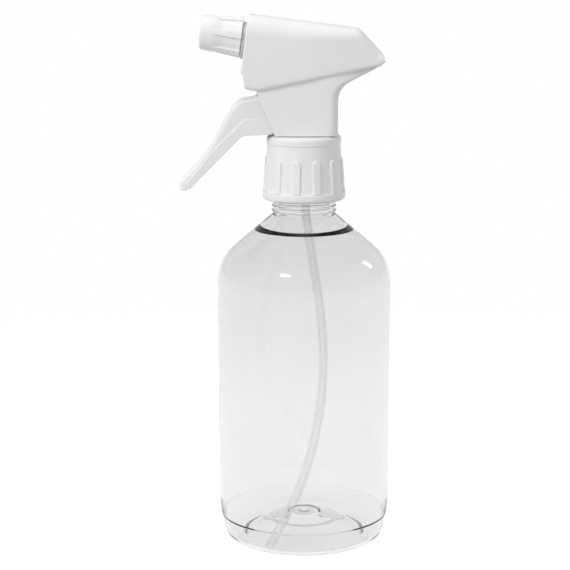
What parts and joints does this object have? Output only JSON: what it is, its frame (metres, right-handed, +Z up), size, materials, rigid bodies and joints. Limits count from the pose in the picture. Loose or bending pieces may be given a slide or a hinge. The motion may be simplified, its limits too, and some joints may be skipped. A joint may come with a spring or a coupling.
{
  "type": "trigger spray bottle",
  "caption": "Clear round plastic bottle with a ribbed screw closure and a lever-worked spray head with a curved dip tube, for spraying water or cleaning liquid.",
  "frame": {"origin": "centre of the flat ring that the bottle stands on", "axes": "+Z up along the bottle's axis, -X the way the nozzle points, Y across the head"},
  "size_m": [0.0884, 0.073, 0.2242],
  "materials": {
    "clear_bottle": "clear moulded PET, glossy",
    "white_closure": "white moulded polypropylene, satin gloss",
    "white_head": "white moulded polypropylene, fine matt",
    "white_nozzle": "white moulded polypropylene, satin gloss",
    "natural_tube": "natural polyethylene, milky and translucent",
    "natural_inner": "natural polypropylene, undyed",
    "soft_seal": "soft white elastomer",
    "steel": "stainless, polished"
  },
  "bodies": {
    "bottle": {"bottle": "clear_bottle"},
    "seal": {"closure_gasket": "soft_seal"},
    "closure": {"closure_cap": "white_closure"},
    "head": {"tube_retainer": "natural_inner", "dip_tube": "natural_tube", "pump_body": "natural_inner", "return_spring": "steel", "neck_housing": "white_head", "trigger_pin": "natural_inner", "spray_barrel": "natural_inner", "swirl_insert": "natural_inner", "outlet_spring": "steel", "shroud": "white_head"},
    "trigger": {"trigger": "white_head"},
    "piston": {"piston": "natural_inner", "piston_seal": "soft_seal", "vent_seal": "soft_seal"},
    "inlet_valve": {"inlet_ball": "steel"},
    "outlet_valve": {"outlet_ball": "steel"},
    "nozzle_carrier": {"nozzle_ring": "soft_seal"},
    "nozzle": {"nozzle_cap": "white_nozzle"}
  },
  "joints": [
    {"name": "head_lift", "type": "slide", "parent": "bottle", "child": "seal", "axis": [0, 0, 1], "range_m": [0, 0.00635]},
    {"name": "closure_turn", "type": "hinge", "parent": "seal", "child": "closure", "pos_m": [0, 0, 0.16], "axis": [0, 0, 1], "range_deg": [0, 540]},
    {"name": "head_swivel", "type": "hinge", "parent": "seal", "child": "head", "pos_m": [0, 0, 0.17], "axis": [0, 0, 1], "continuous": true},
    {"name": "trigger_squeeze", "type": "hinge", "parent": "head", "child": "trigger", "pos_m": [-0.0158, 0, 0.1912], "axis": [0, -1, 0], "range_deg": [0, 22], "stiffness_Nm_per_rad": 1.6, "springref_deg": -6.88},
    {"name": "piston_stroke", "type": "slide", "parent": "head", "child": "piston", "axis": [1, 0, 0], "range_m": [0, 0.00397], "deforming": ["return_spring"]},
    {"name": "inlet_valve_lift", "type": "slide", "parent": "head", "child": "inlet_valve", "axis": [0, 0, 1], "range_m": [0, 0.0012]},
    {"name": "outlet_valve_open", "type": "slide", "parent": "head", "child": "outlet_valve", "axis": [-0.9912, 0, 0.1323], "range_m": [0, 0.0012], "stiffness_N_per_m": 60, "springref_m": -0.002, "deforming": ["outlet_spring"]},
    {"name": "nozzle_travel", "type": "slide", "parent": "head", "child": "nozzle_carrier", "axis": [-0.9912, 0, 0.1323], "range_m": [0, 0.002]},
    {"name": "nozzle_turn", "type": "hinge", "parent": "nozzle_carrier", "child": "nozzle", "pos_m": [-0.0364, 0, 0.21593], "axis": [-0.9912, 0, 0.1323], "range_deg": [0, 360]}
  ],
  "couplings": [
    {"joint": "closure_turn", "follows": "head_lift", "rad_per_m": 1484.3},
    {"joint": "piston_stroke", "follows": "trigger_squeeze", "m_per_rad": 0.010336},
    {"joint": "nozzle_travel", "follows": "nozzle_turn", "m_per_rad": 0.00031831}
  ]
}
